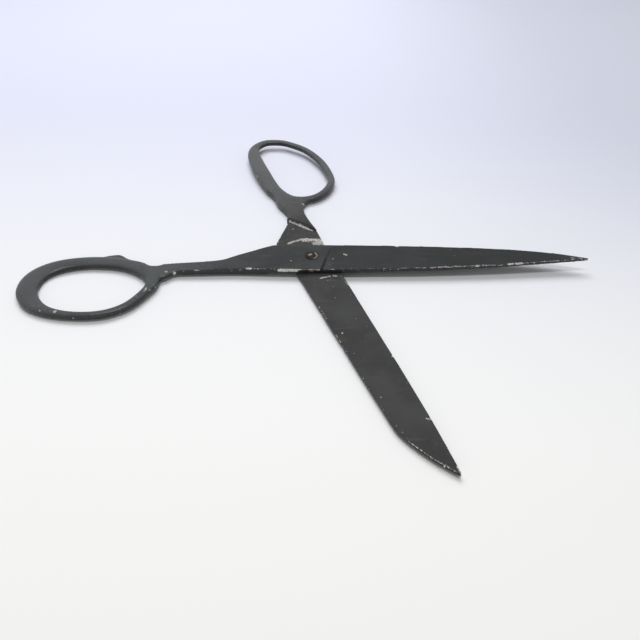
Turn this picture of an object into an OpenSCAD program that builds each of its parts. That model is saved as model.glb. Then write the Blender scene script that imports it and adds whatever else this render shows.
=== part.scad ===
// Flat forged fabric shears: two arms crossing on one riveted pivot.
// The lower arm lies on the surface; the upper arm turns over it.
// X runs along the upper blade at rest, Z is up, and the origin is on the
// pivot line at the lower arm's underside.

/* [Arms] */
// Length of one arm, from the end of its bow to the blade's tip
arm_len = 254; // [200:1:320]
// Thickness of each arm where the two cross
plate_t = 2.5; // [2:0.1:3]
// Thickness of the handles behind their shoulders
shank_t = 3.4; // [3:0.1:4]
// Thickness of the finger loops
bow_t = 3.2; // [2.8:0.1:3.6]
// Height that the lower handle rises towards its bow
bow_rise = 2.3; // [0:0.1:3]
// Height that the upper blade springs away from the lower one at its tip
blade_set = 1.5; // [0:0.1:2]
// Thickness left at the upper blade's tip
tip_t = 1.5; // [1:0.1:2.4]

/* [Joint] */
// Angle between the two blades at rest, in degrees
open_angle = 65; // [40:1:90]
// Lean of the joint faces about the lower blade, in degrees
joint_tilt = 0.75; // [0.5:0.05:0.8]
// Radius of the rivet's shank
rivet_r = 1.6; // [1.2:0.05:2]
// Radial clearance of the upper arm on the rivet
run_gap = 0.05; // [0.02:0.01:0.1]
// Outer radius of the rove under the peened end
rove_r = 2.7; // [2.5:0.05:3.2]
// Thickness of the rove
rove_t = 0.9; // [0.6:0.05:1.2]

/* [Hidden] */

drawn_len = 254;               // arm length at which the outlines are drawn
k = arm_len / drawn_len;       // plan scale of both arms
tip_x = 126;                   // distance of a drawn tip from the pivot
step_h = shank_t - plate_t;    // height of the shoulder behind the joint
face_gap = 0.04;               // gap between the two joint faces
fit_gap = 0.02;                // radial gap of the rivet in pieces it doesn't turn in
past = 5;                      // how far a cutter runs past the solid that it cuts
big = 400;                     // larger than the whole object
round_fn = 48;

// rivet and rove, with heights measured from the lower arm's joint face
head_r = 2.9;
head_sink = 0.1;               // the head's face stays this far inside the arm
head_h = 1.1;                  // depth at which the countersink ends
dome_r = 1.95;
dome_h = 0.65;
recess_h = 0.75;               // depth of the rove's seat in the upper arm
recess_gap = 0.15;             // radial gap of the rove in that seat
rove_z = face_gap + plate_t - recess_h + 0.04;
rove_floor = rove_t / 2;       // height of the rove's dished middle
rove_rim = 0.35;               // width of the rove's raised rim
rim_round = 0.15;

// ---- curves -------------------------------------------------------------

// one point of the Catmull-Rom curve between b and c
function blend(a, b, c, d, t) =
    0.5 * (2 * b + (c - a) * t + (2 * a - 5 * b + 4 * c - d) * t * t
           + (3 * b - a - 3 * c + d) * t * t * t);

// smooth curve through all of p, steps points to each span
function curve(p, steps) = concat(
    [for (i = [0:len(p) - 2], j = [0:steps - 1])
        blend(p[max(i - 1, 0)], p[i], p[i + 1], p[min(i + 2, len(p) - 1)], j / steps)],
    [p[len(p) - 1]]);

// smooth closed curve through all of p
function ring(p, steps) =
    [for (i = [0:len(p) - 1], j = [0:steps - 1])
        blend(p[(i + len(p) - 1) % len(p)], p[i], p[(i + 1) % len(p)],
              p[(i + 2) % len(p)], j / steps)];

function signed_pow(x, n) = sign(x) * pow(abs(x), n);
function smooth(t) = let (c = min(max(t, 0), 1)) c * c * (3 - 2 * c);

// ---- outlines, seen from above, drawn with the pivot at [0, 0] ------------
// x runs towards the blade's tip and y towards the cutting edge.

upper_outline = concat(
    curve([[-14, -8.6], [30, -8.5], [60, -7.9], [85, -6.7], [98, -5.5],
           [108, -4.1], [117, -2.2], [125.5, 0]], 4),
    curve([[124.5, 0.5], [118, 1.3], [108, 2.5], [96, 3.9], [85, 5.2],
           [66, 6.9], [48, 8.2], [20, 9.6], [5, 10.3]], 4),
    curve([[-15, 10.6], [-33, 10.5], [-48, 11.5], [-57, 12.1], [-61.5, 13.1], [-65.5, 17]], 3),
    curve([[-74, 8.2], [-69, 7.8], [-62, 6.7], [-51, 5.3], [-45, 4.6], [-39.5, 3], [-33.5, -0.4],
           [-26, -4.3], [-18.5, -8]], 3));

lower_outline = concat(
    [[-19.4, -10.5]],
    curve([[14, -10], [60, -10.6], [94, -10.9], [102, -10.5], [110, -7.8], [117, -4.4],
           [124.2, 0]], 4),
    curve([[123, 0.5], [116, 1.3], [100, 2.9], [77, 4.6], [50, 6.3], [20, 8.2], [0, 9.4]], 3),
    curve([[-20.5, 11.4], [-32, 11.2], [-40, 12], [-45.8, 14.2], [-50, 19]], 4),
    [[-52, 15], [-57, 7], [-63, 4]],
    curve([[-64, 2.6], [-55, 1.9], [-47, 2.9], [-41, 3.6], [-37.5, 2.4], [-36.4, 1]], 3),
    [[-35.4, 2]]);

// stop nub on the inner side of the upper bow
nub_outline = curve([[-76, 7.8], [-81.5, 5], [-85.5, 2.9], [-88.6, 0.6], [-91, 0.2],
                     [-94.4, 1], [-98.5, 2.7], [-104, 5]], 3);

// each shoulder is a straight step across the handle, from one point to another
upper_shoulder = [[-19.6, 10.7], [-33.4, 0.2]];
lower_shoulder = [[-20.7, 11.9], [-36.3, 1.1]];

// line across the upper blade where its ground face starts, and the depth that
// this face reaches at the cutting edge
plunge_line = [[9.9, -12], [4.5, 14]];
grind_drop = 0.35;

// straight runs of the lower blade's back whose lower corner is dressed off
lower_back = [[-14, -10.2], [60, -10.6], [94, -10.9], [102, -10.5], [110, -7.8], [117, -4.4],
              [124.2, 0]];
back_chamfer = 1.2;

// ---- finger loops --------------------------------------------------------
// each station is [x, y, half width] of the loop's limb

upper_bow = [[-70.5, 25, 2.3], [-69.7, 18.5, 3.4], [-72, 13.3, 4], [-78.5, 9, 3.8],
             [-86.3, 6.4, 3.4], [-94.5, 5.2, 3.5], [-103.5, 5.4, 3.6], [-112.5, 7.4, 4],
             [-119, 11, 4.5], [-122.8, 16, 4.9], [-123.8, 22, 4.9], [-122.2, 28.5, 4.5],
             [-117, 35.2, 3.8], [-108.5, 40, 2.5], [-97, 42, 1.8], [-85, 40.8, 1.8],
             [-76.2, 35.3, 2]];
lower_bow = [[-51.6, 18.5, 2.4], [-54.8, 9.4, 4.3], [-64, 5.6, 4.1], [-74.5, 4.7, 4.3],
             [-85, 4.9, 4.5], [-97, 5.7, 4.3], [-110, 7.6, 3.6], [-118, 11.6, 2.8],
             [-122, 18.5, 2.4], [-120.5, 25, 2], [-116, 31, 2], [-103, 38.2, 2],
             [-86, 40.8, 2.1], [-70, 39.6, 2.1], [-61, 36.2, 2.1], [-53.6, 28, 2.2]];
bow_steps = 6;
bow_round = 2.6;     // 2 is an ellipse, larger is squarer
bow_sides = 16;

// the lower handle starts to rise at rise_from behind the pivot
rise_from = 30;
rise_over = 65;

// ---- shared shapes -------------------------------------------------------

// share of the full rise reached at x, level near the joint and at the bow
function rise(x) = smooth((-x - rise_from) / rise_over);

// closed limb of rounded section; rise(x) lifts its middle along the arm
module bow_loop(stations, mid_z, rise_by) {
    s = ring(stations, bow_steps);
    n = len(s);
    m = bow_sides;
    points = [for (i = [0:n - 1])
        let (a = s[(i + n - 1) % n],
             b = s[(i + 1) % n],
             run = [b[0] - a[0], b[1] - a[1]],
             d = run / norm(run),
             z = mid_z + rise_by * rise(s[i][0]))
        for (j = [0:m - 1])
            let (w = s[i][2] * signed_pow(cos(360 * j / m), 2 / bow_round),
                 h = bow_t / 2 * signed_pow(sin(360 * j / m), 2 / bow_round))
            [(s[i][0] - d[1] * w) * k, (s[i][1] + d[0] * w) * k, z + h]];
    faces = [for (i = [0:n - 1], j = [0:m - 1])
        let (p = i * m + j,
             q = i * m + (j + 1) % m,
             r = ((i + 1) % n) * m + (j + 1) % m,
             t = ((i + 1) % n) * m + j)
        each [[p, r, q], [p, t, r]]];
    polyhedron(points, faces);
}

// solid between a plan outline and a side profile of [x, z] points
module forged(outline, profile) {
    intersection() {
        translate([0, 0, -big / 2]) linear_extrude(big) polygon(outline * k);
        rotate([90, 0, 0]) linear_extrude(big, center = true)
            polygon([for (p = profile) [p[0] * k, p[1]]]);
    }
}

// half-space block above z = 0, on the blade's side of a shoulder line
module joint_side(shoulder) {
    a = shoulder[0];
    d = shoulder[1] - a;
    translate([a[0] * k, a[1] * k, 0]) rotate([0, 0, atan2(d[1], d[0])])
        translate([-big / 2, 0, 0]) cube([big, big, big]);
}

// removes the lower corner of a straight edge whose solid lies on its left
module cut_under(a, b, size) {
    d = (b - a) * k;
    translate([a[0] * k, a[1] * k, 0]) rotate([0, 0, atan2(d[1], d[0])])
        rotate([90, 0, 90]) linear_extrude(norm(d))
            polygon([[-size, -size], [2 * size, -size], [-size, 2 * size]]);
}

// frame of the turning joint: its z = 0 is the lower arm's joint face
module on_joint() {
    translate([0, 0, plate_t])
        rotate(a = joint_tilt, v = [cos(open_angle), -sin(open_angle), 0]) children();
}

// ---- upper arm -----------------------------------------------------------

handle_mid = (plate_t - step_h) / 2;
web_t = bow_t - 0.3;     // flat web between a handle and its loop
web_x = -50;             // the shank has thinned to the web from here back
shank_x = -32;           // the shank has its full thickness from here forward
web_end = -75;           // inside the loop's limb

upper_profile = concat(
    [[web_end, handle_mid - web_t / 2], [web_x, handle_mid - web_t / 2],
     [shank_x, -step_h], [0, -step_h], [0, 0]],
    [for (i = [1:8]) [tip_x * i / 8, blade_set * pow(i / 8, 2)]],
    [[tip_x, blade_set + tip_t], [0, plate_t], [shank_x, plate_t],
     [web_x, handle_mid + web_t / 2], [web_end, handle_mid + web_t / 2]]);

// side profile of the nub, a little thinner than the limb it stands on
nub_half = bow_t / 3;
nub_profile = [[-75, handle_mid - nub_half], [-75, handle_mid + nub_half],
               [-105, handle_mid + nub_half], [-105, handle_mid - nub_half]];

// ground face: falls from nothing at the back to grind_drop at the edge
module ground_face() {
    back_y = -8 * k;
    width = 19 * k;
    lift = blade_set + tip_t - plate_t;
    translate([0, back_y, plate_t])
        rotate([-atan(grind_drop / width), -atan(lift / (tip_x * k)), 0])
            translate([0, -back_y, 0]) linear_extrude(past)
                polygon(concat(plunge_line, [[tip_x + 14, 14], [tip_x + 14, -12]]) * k);
}

module upper_arm() {
    color("#3a3d40") on_joint() translate([0, 0, face_gap]) mirror([0, 1, 0])
        difference() {
            union() {
                forged(upper_outline, upper_profile);
                bow_loop(upper_bow, handle_mid, 0);
                forged(nub_outline, nub_profile);
            }
            mirror([0, 0, 1]) joint_side(upper_shoulder);
            ground_face();
            translate([0, 0, -past])
                cylinder(r = rivet_r + run_gap, h = plate_t + 2 * past, $fn = round_fn);
            translate([0, 0, plate_t - recess_h])
                cylinder(r = rove_r + recess_gap, h = past, $fn = round_fn);
        }
}

// ---- lower arm -----------------------------------------------------------

// thickness of the lower handle, and its top and underside, at x
function limb_t(x) = shank_t + (web_t - shank_t) * smooth((shank_x - x) / (shank_x - web_x));
function limb_mid(x) = shank_t / 2 + bow_rise * rise(x);

// the handle's profile in equal steps from the plate back into the loop
plate_x = -18;
limb_step = 4;
limb_n = 12;
function limb_x(i) = plate_x - limb_step * i;
lower_profile = concat(
    [for (i = [0:limb_n]) [limb_x(i), limb_mid(limb_x(i)) + limb_t(limb_x(i)) / 2]],
    [for (i = [limb_n:-1:0]) [limb_x(i), limb_mid(limb_x(i)) - limb_t(limb_x(i)) / 2]],
    [[tip_x + past, 0], [tip_x + past, shank_t]]);

// hole and countersink that hold the rivet
module rivet_seat() {
    translate([0, 0, -plate_t - past])
        cylinder(r = rivet_r + fit_gap, h = plate_t + 2 * past, $fn = round_fn);
    translate([0, 0, -plate_t - past])
        cylinder(r = head_r + fit_gap, h = past + head_sink, $fn = round_fn);
    translate([0, 0, -plate_t + head_sink])
        cylinder(r1 = head_r + fit_gap, r2 = rivet_r + fit_gap, h = head_h - head_sink,
                 $fn = round_fn);
}

module lower_arm() {
    color("#45474a") rotate([0, 0, -open_angle]) difference() {
        union() {
            forged(lower_outline, lower_profile);
            bow_loop(lower_bow, shank_t / 2, bow_rise);
        }
        translate([0, 0, plate_t]) rotate([joint_tilt, 0, 0]) {
            joint_side(lower_shoulder);
            rivet_seat();
        }
        for (i = [0:len(lower_back) - 2])
            cut_under(lower_back[i], lower_back[i + 1], back_chamfer);
    }
}

// ---- fastening -----------------------------------------------------------

// rivet: countersunk head below, shank through both arms, peened dome on top
module pivot_rivet() {
    dome_z = rove_z + rove_floor;
    color("#8d8577") on_joint() rotate_extrude($fn = round_fn) polygon(concat(
        [[0, -plate_t + head_sink], [head_r, -plate_t + head_sink],
         [rivet_r, -plate_t + head_h], [rivet_r, dome_z], [dome_r, dome_z]],
        [for (i = [1:8]) [dome_r * cos(90 * i / 8), dome_z + dome_h * sin(90 * i / 8)]]));
}

// rove: dished ring that the rivet's end is peened over
module rivet_rove() {
    hole_r = rivet_r + fit_gap;
    color("#a39a86") on_joint() translate([0, 0, rove_z]) rotate_extrude($fn = round_fn)
        polygon([[hole_r, 0], [rove_r, 0], [rove_r, rove_t - rim_round],
                 [rove_r - rim_round, rove_t], [rove_r - rove_rim, rove_t],
                 [dome_r + 0.1, rove_floor], [hole_r, rove_floor]]);
}

lower_arm();
upper_arm();
pivot_rivet();
rivet_rove();
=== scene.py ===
"""Worn, blackened fabric shears lying open on a pale surface.

Each forging is a copy of its CAD node with softened edges, a slightly uneven hand-forged
skin and small nicks. Every vertex carries how worn it is, and the materials turn that into
bare steel where the black finish has rubbed or chipped away; on the rivet and its rove the
same values paint highlights. Further values paint shade on side faces, steps and recesses,
and a sheen on the upper faces of the handles.
"""

import math

import bpy
import numpy as np
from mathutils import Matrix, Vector, noise


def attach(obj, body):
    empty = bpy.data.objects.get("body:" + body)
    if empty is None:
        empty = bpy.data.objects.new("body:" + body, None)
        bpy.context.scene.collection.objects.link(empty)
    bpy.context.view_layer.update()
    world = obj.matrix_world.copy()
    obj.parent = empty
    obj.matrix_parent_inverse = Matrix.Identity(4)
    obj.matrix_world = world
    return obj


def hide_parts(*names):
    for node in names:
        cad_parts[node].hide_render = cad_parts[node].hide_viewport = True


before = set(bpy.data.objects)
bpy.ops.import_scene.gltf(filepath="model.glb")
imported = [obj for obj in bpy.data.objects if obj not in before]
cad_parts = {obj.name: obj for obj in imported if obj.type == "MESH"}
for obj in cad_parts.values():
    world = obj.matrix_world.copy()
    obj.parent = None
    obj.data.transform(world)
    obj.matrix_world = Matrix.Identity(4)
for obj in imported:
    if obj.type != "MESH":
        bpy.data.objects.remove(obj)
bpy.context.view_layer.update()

MM = 0.001
BLADE_ANGLE = math.radians(65)  # between the two blades at rest
FAR_AWAY = 1e3  # farther than any place on the arms, in mm

# where use, with a painted sheen on the upper faces, starts to show on the handles, and the
# length it takes to show fully, in mm behind the pivot
USE_AND_SHEEN_FROM, USE_AND_SHEEN_OVER = 28, 40
POLISH_FROM, POLISH_OVER = 20, 30


# ---- places on the arms ------------------------------------------------------
# u runs from the pivot to an arm's tip and v towards its cutting edge, in millimetres.


def upper_frame(points):
    """Row-frame points, in mm, as u, v and height on the upper arm."""
    return points * np.array([1.0, -1.0, 1.0])


def lower_frame(points):
    """Row-frame points, in mm, as u, v and height on the lower arm."""
    c, s = math.cos(BLADE_ANGLE), math.sin(BLADE_ANGLE)
    x, y = points[:, 0], points[:, 1]
    return np.stack([c * x - s * y, s * x + c * y, points[:, 2]], axis=1)


def line_distance(points, path):
    """Distance of each point from a path of corners; heights count only where the path has them."""
    size = len(path[0])
    p = points[:, :size]
    nearest = np.full(len(p), FAR_AWAY)
    for a, b in zip(path[:-1], path[1:]):
        a, b = np.array(a, float), np.array(b, float)
        run = b - a
        along = np.clip((p - a) @ run / max(run @ run, 1e-9), 0, 1)
        nearest = np.minimum(nearest, np.linalg.norm(p - a - along[:, None] * run, axis=1))
    return nearest


def arc(radius, start, end, steps=10):
    """Corners of an arc about the pivot, with angles in degrees from +u towards +v."""
    angles = [math.radians(start + (end - start) * i / steps) for i in range(steps + 1)]
    return [(radius * math.cos(t), radius * math.sin(t)) for t in angles]


def fade(t):
    """Smooth step from 0 to 1 as t goes from 0 to 1."""
    t = np.clip(t, 0, 1)
    return t * t * (3 - 2 * t)


def spot(*place):
    """A path that is one place."""
    return [place, place]


# ---- pieces -------------------------------------------------------------------


def mesh_arrays(mesh):
    """Vertex positions and normals of a mesh."""
    count = len(mesh.vertices)
    co = np.empty(count * 3)
    mesh.vertices.foreach_get("co", co)
    normal = np.empty(count * 3)
    mesh.vertices.foreach_get("normal", normal)
    return co.reshape(-1, 3), normal.reshape(-1, 3)


def refined_copy(node, name, voxel, passes):
    """A copy of a CAD node as one even mesh, with its edges softened by smoothing passes."""
    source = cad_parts[node]
    piece = bpy.data.objects.new(name, source.data.copy())
    bpy.context.collection.objects.link(piece)
    piece.data.materials.clear()
    weld = piece.modifiers.new("weld", "WELD")
    weld.merge_threshold = 0.002 * MM
    remesh = piece.modifiers.new("even", "REMESH")
    remesh.mode = "VOXEL"
    remesh.voxel_size = voxel
    soften = piece.modifiers.new("soften", "SMOOTH")
    soften.factor = 0.5
    soften.iterations = passes
    shape = bpy.data.meshes.new_from_object(
        piece.evaluated_get(bpy.context.evaluated_depsgraph_get())
    )
    piece.modifiers.clear()
    piece.data = shape
    shape.shade_smooth()
    return piece


def uneven(piece, height, size, seed):
    """Pushes the skin in by up to height, in soft patches of about that size."""
    co, normal = mesh_arrays(piece.data)
    shift = Vector((seed, 2 * seed, 3 * seed))
    depth = np.array([noise.noise(Vector(p) / size + shift) for p in co])
    co -= normal * (height * (0.5 + 0.5 * depth))[:, None]
    piece.data.vertices.foreach_set("co", co.ravel())
    piece.data.update()


def nick(piece, to_arm, dents):
    """Presses small dents into the skin: each is a path, its half width and its depth in mm."""
    co, normal = mesh_arrays(piece.data)
    place = to_arm(co / MM)
    for path, half_width, depth in dents:
        near = 1 - line_distance(place, path) / half_width
        co -= normal * (fade(near) * depth * MM)[:, None]
    piece.data.vertices.foreach_set("co", co.ravel())
    piece.data.update()


def neighbour_mean(mesh, co):
    """Mean position of the vertices joined to each vertex."""
    ends = np.empty(len(mesh.edges) * 2, dtype=np.int64)
    mesh.edges.foreach_get("vertices", ends)
    a, b = ends.reshape(-1, 2).T
    total = np.stack([
        np.bincount(a, co[b, i], len(co)) + np.bincount(b, co[a, i], len(co)) for i in range(3)
    ], axis=1)
    return total / np.maximum(np.bincount(ends, minlength=len(co)), 1)[:, None]


def blend(piece, to_arm, middle, reach, passes):
    """Smooths the skin within reach mm of a place, as a forged fillet would."""
    mesh = piece.data
    co, _ = mesh_arrays(mesh)
    share = fade(2 - 2 * line_distance(to_arm(co / MM), spot(*middle)) / reach)[:, None]
    for _ in range(passes):
        co += share * (neighbour_mean(mesh, co) - co)
    mesh.vertices.foreach_set("co", co.ravel())
    mesh.update()


def store(piece, name, values):
    """Keeps one number per vertex for the material to read."""
    layer = piece.data.attributes.new(name, "FLOAT", "POINT")
    layer.data.foreach_set("value", np.asarray(values, dtype=np.float32))


def convexity(piece, passes):
    """How far each vertex stands proud of its neighbours: 0 on a flat, about 1 on an edge."""
    co, normal = mesh_arrays(piece.data)
    smooth_co = co
    for _ in range(passes):
        smooth_co = 0.5 * smooth_co + 0.5 * neighbour_mean(piece.data, smooth_co)
    proud = ((co - smooth_co) * normal).sum(axis=1)
    return np.clip(proud / np.percentile(proud, 99.5), -1, 1)


def stroke_marks(strokes, points):
    """The strongest stroke at each point; strokes mark wear, chips, painted shade and painted
    highlights. A stroke is (path, half width mm, strength).
    """
    wear_and_highlight = np.zeros(len(points))
    for path, width, strength in strokes:
        wear_and_highlight = np.maximum(wear_and_highlight, strength * fade(1.25 - line_distance(points, path) / width))
    return wear_and_highlight


def handling_and_sheen(points, normals):
    """How much the upward faces are greyed, from use and as a painted sheen: none at the joint, all
    of it on the bow.
    """
    top = fade((normals[:, 2] - 0.3) / 0.6)
    return fade((-points[:, 0] - USE_AND_SHEEN_FROM) / USE_AND_SHEEN_OVER) * top


def polish(points):
    """How much handling has polished the finish, on the tops and the sides alike."""
    return fade((-points[:, 0] - POLISH_FROM) / POLISH_OVER)


def side_shade(normals):
    """Painted shade that darkens the side faces against the top."""
    return 0.7 * fade((0.6 - normals[:, 2]) / 0.5)


# ---- materials ----------------------------------------------------------------


class Shader:
    """Builds one material's nodes; every method returns an output socket."""

    def __init__(self, name):
        self.material = bpy.data.materials.new(name)
        self.material.use_nodes = True
        self.tree = self.material.node_tree
        self.surface = self.tree.nodes["Principled BSDF"]
        self.place = self.add("ShaderNodeTexCoord").outputs["Object"]

    def add(self, kind, **inputs):
        node = self.tree.nodes.new(kind)
        for key, value in inputs.items():
            self.feed(node.inputs[key], value)
        return node

    def feed(self, socket, value):
        if isinstance(value, bpy.types.NodeSocket):
            self.tree.links.new(value, socket)
        else:
            socket.default_value = value

    def calc(self, kind, a, b=0.0, c=0.0):
        node = self.tree.nodes.new("ShaderNodeMath")
        node.operation = kind
        for socket, value in zip(node.inputs, (a, b, c)):
            self.feed(socket, value)
        return node.outputs[0]

    def ramp(self, value, low, high, out_low=0.0, out_high=1.0):
        node = self.tree.nodes.new("ShaderNodeMapRange")
        node.interpolation_type = "SMOOTHSTEP"
        numbers = (value, low, high, out_low, out_high)
        for key, number in zip(("Value", "From Min", "From Max", "To Min", "To Max"), numbers):
            self.feed(node.inputs[key], number)
        return node.outputs["Result"]

    def mix(self, share, a, b):
        node = self.tree.nodes.new("ShaderNodeMix")
        node.data_type = "RGBA"
        for socket, value in ((node.inputs[0], share), (node.inputs[6], a), (node.inputs[7], b)):
            self.feed(socket, value)
        return node.outputs[2]

    def noise(self, size, detail=3.0, stretch=(1, 1, 1), turn=0.0):
        """Even noise with features of about that size in metres."""
        mapping = self.tree.nodes.new("ShaderNodeMapping")
        self.feed(mapping.inputs["Vector"], self.place)
        mapping.inputs["Rotation"].default_value = (0, 0, turn)
        mapping.inputs["Scale"].default_value = [1 / s for s in stretch]
        node = self.add(
            "ShaderNodeTexNoise", Vector=mapping.outputs[0], Scale=1 / size, Detail=detail
        )
        return node.outputs["Fac"]

    def stored(self, name):
        node = self.tree.nodes.new("ShaderNodeAttribute")
        node.attribute_name = name
        return node.outputs["Fac"]

    def bumps(self, height, distance, strength=1.0, under=None):
        node = self.tree.nodes.new("ShaderNodeBump")
        node.inputs["Distance"].default_value = distance
        node.inputs["Strength"].default_value = strength
        self.feed(node.inputs["Height"], height)
        if under is not None:
            self.feed(node.inputs["Normal"], under)
        return node.outputs["Normal"]


def worn_black(name, dark, light, rubbed_and_sheen, along):
    """Black oxide and lacquer over forged steel: greyer where handled and with a painted sheen on
    the upper faces, darker in painted shade, bare where worn.
    """
    s = Shader(name)
    patches = s.noise(14 * MM, 4)
    fine = s.noise(0.9 * MM, 5)
    grain = s.noise(1.2 * MM, 4, stretch=(14, 1, 1), turn=-along)
    finish = s.mix(s.ramp(patches, 0.35, 0.68), dark, light)
    finish = s.mix(s.ramp(fine, 0.45, 0.8, 0, 0.12), finish, [c * 1.5 for c in light[:3]] + [1])
    rust = s.ramp(s.noise(4 * MM, 8), 0.56, 0.72, 0, 0.45)
    finish = s.mix(rust, finish, (0.064, 0.060, 0.048, 1))
    rubs = s.ramp(s.noise(1.5 * MM, 3, stretch=(10, 1, 1), turn=-along), 0.58, 0.74, 0, 0.4)
    finish = s.mix(rubs, finish, [c * 1.6 for c in light[:3]] + [1])
    # painted sheen: the upper faces of the handles turn greyer, together with the greying from use
    handled_and_sheen = s.calc("MULTIPLY", s.stored("handled_and_sheen"), s.ramp(patches, 0.3, 0.65, 0.78, 1.0))
    finish = s.mix(handled_and_sheen, finish, rubbed_and_sheen)
    # painted shade: side faces, steps and recesses are darkened towards black
    finish = s.mix(s.calc("MULTIPLY", s.stored("painted_shade"), 0.9), finish, (0.008, 0.008, 0.008, 1))

    # the finish is gone where wear beats a ragged threshold, and in a few stray specks
    wear_and_highlight = s.stored("wear_and_highlight")
    coarse, close = s.noise(1.8 * MM, 4), s.noise(0.5 * MM, 4)
    ragged = s.calc("ADD", s.calc("MULTIPLY", coarse, 0.6), s.calc("MULTIPLY", close, 0.75))
    gone = s.ramp(s.calc("ADD", wear_and_highlight, ragged), 1.20, 1.27)
    specks = s.ramp(s.noise(1.1 * MM, 1), 0.795, 0.82)
    chips = s.calc("ADD", s.noise(0.9 * MM, 2), s.calc("MULTIPLY", s.stored("chipped"), 0.16))
    specks = s.calc("MAXIMUM", specks, s.ramp(chips, 0.80, 0.83))
    gone = s.calc("MAXIMUM", gone, s.calc("MULTIPLY", specks, 0.8))
    shine = s.ramp(s.noise(0.8 * MM, 4), 0.35, 0.68)
    steel = s.mix(shine, (0.40, 0.39, 0.36, 1), (0.88, 0.88, 0.86, 1))
    # half-worn finish shows as a dull brown-grey film around the bare steel
    film = s.ramp(s.calc("ADD", wear_and_highlight, ragged), 1.02, 1.22, 0, 0.5)
    colour = s.mix(gone, s.mix(film, finish, (0.115, 0.112, 0.098, 1)), steel)

    surface = s.surface.inputs
    s.feed(surface["Base Color"], colour)
    s.feed(surface["Metallic"], s.calc("MULTIPLY", gone, 0.55))
    mottle = s.ramp(fine, 0.3, 0.7, -0.05, 0.05)
    gloss = s.calc("ADD", s.ramp(patches, 0.3, 0.7, 0.40, 0.52), mottle)
    gloss = s.calc("ADD", gloss, s.calc("MULTIPLY", s.stored("polish"), -0.17))
    s.feed(surface["Roughness"], s.calc("ADD", gloss, s.calc("MULTIPLY", gone, -0.06)))
    surface["Specular IOR Level"].default_value = 0.42
    skin = s.bumps(s.noise(2.2 * MM, 4), 0.05 * MM)
    skin = s.bumps(grain, 0.012 * MM, under=skin)
    skin = s.bumps(fine, 0.02 * MM, under=skin)
    s.feed(surface["Normal"], s.bumps(s.calc("MULTIPLY", gone, -1.0), 0.05 * MM, under=skin))
    return s.material


def steel_with_painted_highlights(name, dark, highlight_colour):
    """Dark hammered steel, with a highlight painted where the wear_and_highlight values say so."""
    s = Shader(name)
    soil = s.noise(0.7 * MM, 5)
    share = s.calc("MULTIPLY", s.stored("wear_and_highlight"), s.ramp(soil, 0.3, 0.6, 0.6, 1.0))
    surface = s.surface.inputs
    s.feed(surface["Base Color"], s.mix(share, dark, highlight_colour))
    s.feed(surface["Metallic"], s.calc("MULTIPLY", share, 0.6))
    s.feed(surface["Roughness"], s.ramp(soil, 0.3, 0.7, 0.34, 0.55))
    s.feed(surface["Normal"], s.bumps(s.noise(0.5 * MM, 4), 0.05 * MM))
    return s.material


def pale_floor_material():
    """Smooth pale card, with painted shade that makes it a little cooler and darker towards the
    back right.
    """
    s = Shader("pale_card")
    split = s.add("ShaderNodeSeparateXYZ", Vector=s.place)
    back = s.ramp(split.outputs["Y"], -0.14, 0.20)
    right = s.ramp(split.outputs["X"], 0.0, 0.22)
    # painted shade: the card darkens and cools towards the back and most in the back right corner
    falloff_tone = s.mix(back, (0.94, 0.95, 0.945, 1), (0.70, 0.72, 0.86, 1))
    corner_shade = s.calc("MULTIPLY", right, s.calc("MULTIPLY", back, 0.9))
    s.feed(s.surface.inputs["Base Color"], s.mix(corner_shade, falloff_tone, (0.58, 0.61, 0.71, 1)))
    s.surface.inputs["Roughness"].default_value = 0.75
    s.surface.inputs["Specular IOR Level"].default_value = 0.2
    s.feed(s.surface.inputs["Normal"], s.bumps(s.noise(0.8 * MM, 3), 0.01 * MM))
    return s.material


# ---- the arms ------------------------------------------------------------------

ARM_VOXEL = 0.28 * MM
EDGE_PASSES = 4
PROUD_PASSES = 4
EDGE_WEAR = 0.22  # wear of every sharp edge


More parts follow.
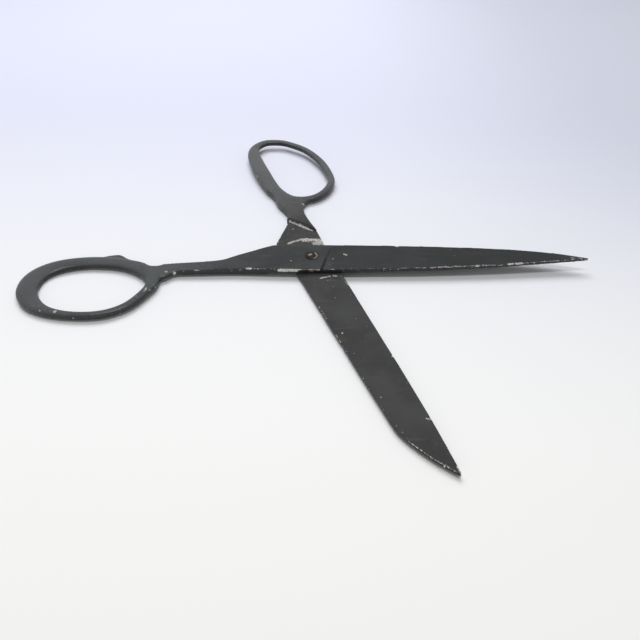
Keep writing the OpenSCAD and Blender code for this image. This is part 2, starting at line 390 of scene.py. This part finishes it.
def build_upper_arm():
    """The arm that turns: bare side edge at the joint, ragged cutting edge, rubbed shank edge."""
    arm = refined_copy("upper_arm", "upper_forging", ARM_VOXEL, EDGE_PASSES)
    blend(arm, upper_frame, (-64, 15), 7, 60)
    blend(arm, upper_frame, (-72, 8), 5, 30)
    uneven(arm, 0.10 * MM, 16 * MM, seed=3)
    plunge = [(8.6, -5, 5.2), (6.6, 2.5, 5.0), (4.9, 10.4, 4.9)]
    nick(arm, upper_frame, [
        (spot(39.4, -9.0), 1.5, 0.45), (spot(60.5, -8.6), 0.9, 0.2), (spot(4.9, 10.6), 1.1, 0.4),
        (spot(53, 8.2), 0.8, 0.2), (spot(74, 6.4), 0.9, 0.3), (spot(91, 4.9), 0.8, 0.25),
        (spot(-10, 10.8), 1.2, 0.15), (plunge[:2], 0.8, 0.15), (plunge[1:], 0.9, 0.35),
    ])
    co, normal = mesh_arrays(arm.data)
    place = upper_frame(co / MM)
    shank_edge = [(-16, 10.6, 4.7), (-29, 10.5, 4.5), (-40, 11, 4.3), (-50, 12, 3.9),
                  (-60, 13.4, 3.7)]
    cutting_edge = [(6, 10.2, 4.8), (48, 8.2, 5.35), (85, 5.2, 6.0), (123, 0.5, 6.6)]
    strokes = [
        ([(-14.2, 10.9, 4.0), (-6.5, 10.9, 4.1)], 1.4, 0.85),
        ([(-10.4, 10.9, 3.9), (-8.8, 10.9, 3.9)], 1.1, 1.1),
        ([(-7, 10.8, 4.5), (4.2, 10.5, 4.6)], 0.75, 0.70),
        (shank_edge, 0.40, 0.64),
        ([(-28.6, 10.5, 4.5), (-27, 10.5, 4.5)], 0.9, 0.8),
        ([(-52, 11.9, 3.8), (-50.5, 11.9, 3.9)], 0.7, 0.75),
        ([(-65, 13.2), (-64.4, 13.2)], 0.8, 0.75),
        ([(-61.4, 12.9), (-60.8, 12.9)], 0.8, 0.75),
        (cutting_edge, 0.30, 0.62),
        ([(50, 8.2, 5.1), (72, 6.6, 5.4), (96, 4.1, 5.9)], 0.6, 0.56),
        ([(89, 4.8, 5.9), (95, 4.1, 6.0)], 1.0, 0.68),
        ([(74, 6.2, 5.4), (75, 6.1, 5.5)], 1.0, 0.8),
        (spot(39.6, -8.2), 1.7, 0.72),
        (spot(60.5, -8.0), 0.9, 0.6),
        ([(14.9, -1.3), (15.9, -0.7)], 0.7, 0.85),
        (spot(9.8, 2.3), 0.55, 0.85),
        (spot(-9.3, 4.3), 0.6, 0.8),
        ([(118, 0), (126, 0)], 1.4, 0.5),
        (spot(-104.4, 41.3), 1.1, 0.95),
        (spot(-111.1, 40.6), 0.7, 0.75),
        ([(-70.8, 27), (-70.4, 25)], 0.7, 0.7),
        ([(26, -2.2), (34, -1.2)], 1.4, 0.3),
    ]
    edge = EDGE_WEAR * fade(convexity(arm, PROUD_PASSES))
    store(arm, "wear_and_highlight", np.maximum(stroke_marks(strokes, place), edge))
    # painted shade: a dark line in the plunge step and a dark ring in the recess about the rivet,
    # with the side faces darkened too
    shaded_strokes = [(plunge[:2], 0.7, 0.5), (plunge[1:], 0.8, 1.0), (spot(0, 0), 4.2, 0.45)]
    # painted shade: the blade is darkened from the plunge line to the tip
    blade_shade = 0.35 * fade((place[:, 0] - 6) / 6)
    store(arm, "painted_shade", np.maximum.reduce([stroke_marks(shaded_strokes, place), blade_shade, side_shade(normal)]))
    # painted sheen on the upper faces of the handle, with the greying from use
    store(arm, "handled_and_sheen", handling_and_sheen(place, normal))
    store(arm, "polish", polish(place))
    chipped_edge = [(-62, 13, 3.4), (-40, 11, 3.6), (-16, 10.6, 4), (6, 10.2, 4.2), (48, 8.2, 4.8),
                    (85, 5.2, 5.6), (123, 0.5, 6.3)]
    near_limb = [(-66, 18), (-69, 27), (-78, 38), (-97, 42.5), (-116, 38)]
    store(arm, "chipped", stroke_marks([(chipped_edge, 1.1, 1.0), (near_limb, 2.2, 0.75)], place))
    arm.data.materials.append(worn_black(
        "upper_black", (0.033, 0.036, 0.040, 1), (0.047, 0.051, 0.055, 1),
        (0.078, 0.085, 0.090, 1), 0.0,
    ))
    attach(arm, "upper")
    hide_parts("upper_arm")


def build_lower_arm():
    """The arm that lies flat: worn shoulder, rub arc about the pivot, marked blade."""
    arm = refined_copy("lower_arm", "lower_forging", ARM_VOXEL, EDGE_PASSES)
    blend(arm, lower_frame, (-48, 16), 6, 50)
    blend(arm, lower_frame, (-60, 3), 7, 50)
    uneven(arm, 0.10 * MM, 18 * MM, seed=7)
    nick(arm, lower_frame, [
        (spot(56, -10.6), 1.6, 0.35), (spot(61, -10.8), 1.0, 0.3), (spot(69.6, 5.3), 1.0, 0.35),
        (spot(34, -10.2), 0.9, 0.2), (spot(101, 2.9), 0.8, 0.2), (spot(119, -3.6), 0.8, 0.2),
    ])
    co, normal = mesh_arrays(arm.data)
    place = lower_frame(co / MM)
    strokes = [
        ([(-34.5, 2.0), (-30, 4.9), (-27, 6.7), (-22.4, 9.5)], 0.7, 0.74),
        ([(-29.5, 5.2), (-24.5, 8.2)], 1.1, 0.72),
        (arc(17.5, 197, 165), 1.2, 0.68),
        (arc(16.4, 172, 128), 1.9, 0.72),
        (arc(13.6, 152, 128), 2.6, 0.66),
        (spot(-27.6, 1.2), 0.7, 0.8),
        (spot(-20.2, -9), 1.2, 0.6),
        (arc(24.5, 196, 205), 0.8, 0.55),
        ([(14.2, -1.9), (14.6, 2.6)], 0.8, 0.66),
        ([(15.0, 4.4), (15.6, 5.4)], 1.0, 0.66),
        ([(16, 7.4), (24, 8.0)], 1.5, 0.46),
        (spot(50.4, -7.5), 0.65, 0.9),
        ([(32, -9.8, 2.4), (40, -9.9, 2.4)], 0.45, 0.60),
        ([(50, -10.2, 2.4), (58, -10.4, 2.4)], 0.45, 0.62),
        (spot(69.6, 4.9), 1.1, 0.62),
        (spot(83.7, 3.3), 0.8, 0.5),
        ([(100.4, 1.2), (101.4, 2.2)], 0.5, 0.6),
        ([(106, -9.2, 2.4), (115, -5.3, 2.4), (122.5, -0.9, 2.4)], 0.4, 0.60),
        (spot(119.1, -3.3), 0.7, 0.8),
        (spot(85.9, -8.7), 0.6, 0.6),
        (spot(62.4, -8.1), 0.6, 0.55),
        ([(124, 0.2), (121, 0.4)], 0.8, 0.6),
        (spot(-82.6, 0.9), 0.8, 0.8),
        ([(-47.2, 14), (-46.6, 15)], 0.8, 0.7),
        ([(-122.8, 24), (-122.4, 28)], 0.9, 0.5),
    ]
    edge = EDGE_WEAR * fade(convexity(arm, PROUD_PASSES))
    store(arm, "wear_and_highlight", np.maximum(stroke_marks(strokes, place), edge))
    # painted shade along the shoulder step and at its protruding corner
    shaded_strokes = [([(-36, 2.6), (-22, 12.2)], 0.9, 0.9), ([(-25, 9.5), (-20.5, 12)], 1.8, 0.6),
              ([(-36.5, 0.2), (-34, 1.4)], 1.2, 0.6)]
    # painted shade on the side faces as well
    store(arm, "painted_shade", np.maximum(stroke_marks(shaded_strokes, place), side_shade(normal)))
    # painted sheen on the upper faces of the handle, with the greying from use
    store(arm, "handled_and_sheen", handling_and_sheen(place, normal))
    store(arm, "polish", polish(place))
    chipped_edge = [(20, -9.9, 2.4), (60, -10.5, 2.4), (94, -10.8, 2.4), (110, -7.7, 2.4),
                    (124, 0, 2.4)]
    joint_face = [(-30, 2), (-20, -6), (-14, 6), (-24, 8)]
    near_joint = [(12, -6), (18, 6), (24, 0), (30, -4)]
    store(arm, "chipped", stroke_marks([
        (chipped_edge, 0.7, 0.9), (joint_face, 3, 0.6), (near_joint, 4, 0.55),
        ([(-50, 19), (-60, 34)], 4, 0.5),
    ], place))
    arm.data.materials.append(worn_black(
        "lower_black", (0.038, 0.039, 0.042, 1), (0.053, 0.054, 0.057, 1),
        (0.105, 0.109, 0.114, 1), -BLADE_ANGLE,
    ))
    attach(arm, "lower")
    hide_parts("lower_arm")


def build_fastening(node, name, dents, strokes, dark, highlight_colour):
    """The rivet or its rove, hammered a little out of round, with highlights painted where the
    strokes say.
    """
    piece = refined_copy(node, name, 0.1 * MM, 2)
    uneven(piece, 0.06 * MM, 1.1 * MM, seed=11)
    nick(piece, upper_frame, dents)
    co, _ = mesh_arrays(piece.data)
    # painted highlight: the strokes brighten the lit side of the rivet's end and the lit rim of the
    # rove
    store(piece, "wear_and_highlight", stroke_marks(strokes, upper_frame(co / MM)))
    piece.data.materials.append(steel_with_painted_highlights(name + "_steel", dark, highlight_colour))
    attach(piece, "lower")
    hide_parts(node)


build_upper_arm()
build_lower_arm()
# the rivet's end was peened over to one side and has a painted highlight on the other; the rove has
# a painted highlight along its lit rim
build_fastening(
    "pivot_rivet", "peened_rivet",
    [(spot(1.2, 0.1, 5.3), 1.5, 0.75)], [(spot(-0.9, -0.5, 5.3), 1.1, 1.0)],
    (0.020, 0.017, 0.013, 1), (0.52, 0.46, 0.38, 1),
)
build_fastening(
    "rivet_rove", "dished_rove",
    [], [([(1.6, -2.1, 5.2), (2.5, -0.4, 5.2), (2.3, 1.2, 5.2), (1.2, 2.3, 5.2)], 0.6, 1.0)],
    (0.035, 0.032, 0.027, 1), (0.60, 0.52, 0.42, 1),
)


# ---- floor, light and camera -----------------------------------------------------

KEY_POWER = 8.9
OVERHEAD_POWER = 2.1
SURROUND = 0.28


def build_floor():
    bpy.ops.mesh.primitive_plane_add(size=6, location=(0, 0, -0.02 * MM))
    floor = bpy.context.object
    floor.name = "floor"
    floor.data.materials.append(pale_floor_material())


def soft_panel(name, size, energy, colour, lean, side, reach):
    """An area light aimed at the pivot. Lean is from the vertical towards the back, in degrees."""
    lean, side = math.radians(lean), math.radians(side)
    panel = bpy.data.lights.new(name, "AREA")
    panel.shape = "RECTANGLE"
    panel.size, panel.size_y = size
    panel.energy = energy
    panel.color = colour
    lamp = bpy.data.objects.new(name, panel)
    bpy.context.collection.objects.link(lamp)
    lamp.location = reach * Vector((
        math.sin(lean) * math.sin(side),
        math.sin(lean) * math.cos(side),
        math.cos(lean),
    ))
    lamp.rotation_euler = (-lamp.location).to_track_quat("-Z", "Y").to_euler()
    return lamp


def build_light():
    """A soft key from above and behind, a weak panel overhead, and an even pale surround."""
    key = soft_panel("key", (0.9, 0.55), KEY_POWER, (0.985, 0.99, 1.0), 37, -16, 1.1)
    key.visible_glossy = False  # the flat faces then show the surround, not the lamp
    soft_panel("overhead", (0.5, 0.14), OVERHEAD_POWER, (1.0, 1.0, 1.0), -6, 0, 0.9)
    world = bpy.data.worlds.new("surround")
    bpy.context.scene.world = world
    world.use_nodes = True
    tree = world.node_tree
    height = tree.nodes.new("ShaderNodeSeparateXYZ")
    tree.links.new(tree.nodes.new("ShaderNodeTexCoord").outputs["Generated"], height.inputs[0])
    walls = tree.nodes.new("ShaderNodeMapRange")
    walls.inputs["From Min"].default_value = 0.2
    walls.inputs["From Max"].default_value = 0.8
    walls.inputs["To Min"].default_value = 1.9 * SURROUND
    walls.inputs["To Max"].default_value = 0.8 * SURROUND
    tree.links.new(height.outputs["Z"], walls.inputs["Value"])
    tree.links.new(walls.outputs["Result"], tree.nodes["Background"].inputs["Strength"])
    tree.nodes["Background"].inputs["Color"].default_value = (0.96, 0.935, 0.89, 1)
    bpy.context.scene.view_settings.view_transform = "Standard"


def build_camera():
    """Close view from the front, 42 degrees above the surface."""
    elevation, azimuth = math.radians(42), math.radians(2.1)
    distance = 232 * MM
    target = Vector((5.3, -41.5, 2.5)) * MM
    look = Vector((
        -math.sin(azimuth) * math.cos(elevation),
        math.cos(azimuth) * math.cos(elevation),
        -math.sin(elevation),
    ))
    camera = bpy.data.cameras.new("camera")
    camera.sensor_width = 36
    camera.lens = 31.92
    camera.clip_start = 0.005
    holder = bpy.data.objects.new("camera", camera)
    bpy.context.collection.objects.link(holder)
    holder.location = target - distance * look
    holder.rotation_euler = look.to_track_quat("-Z", "Y").to_euler()
    bpy.context.scene.camera = holder


build_floor()
build_light()
build_camera()
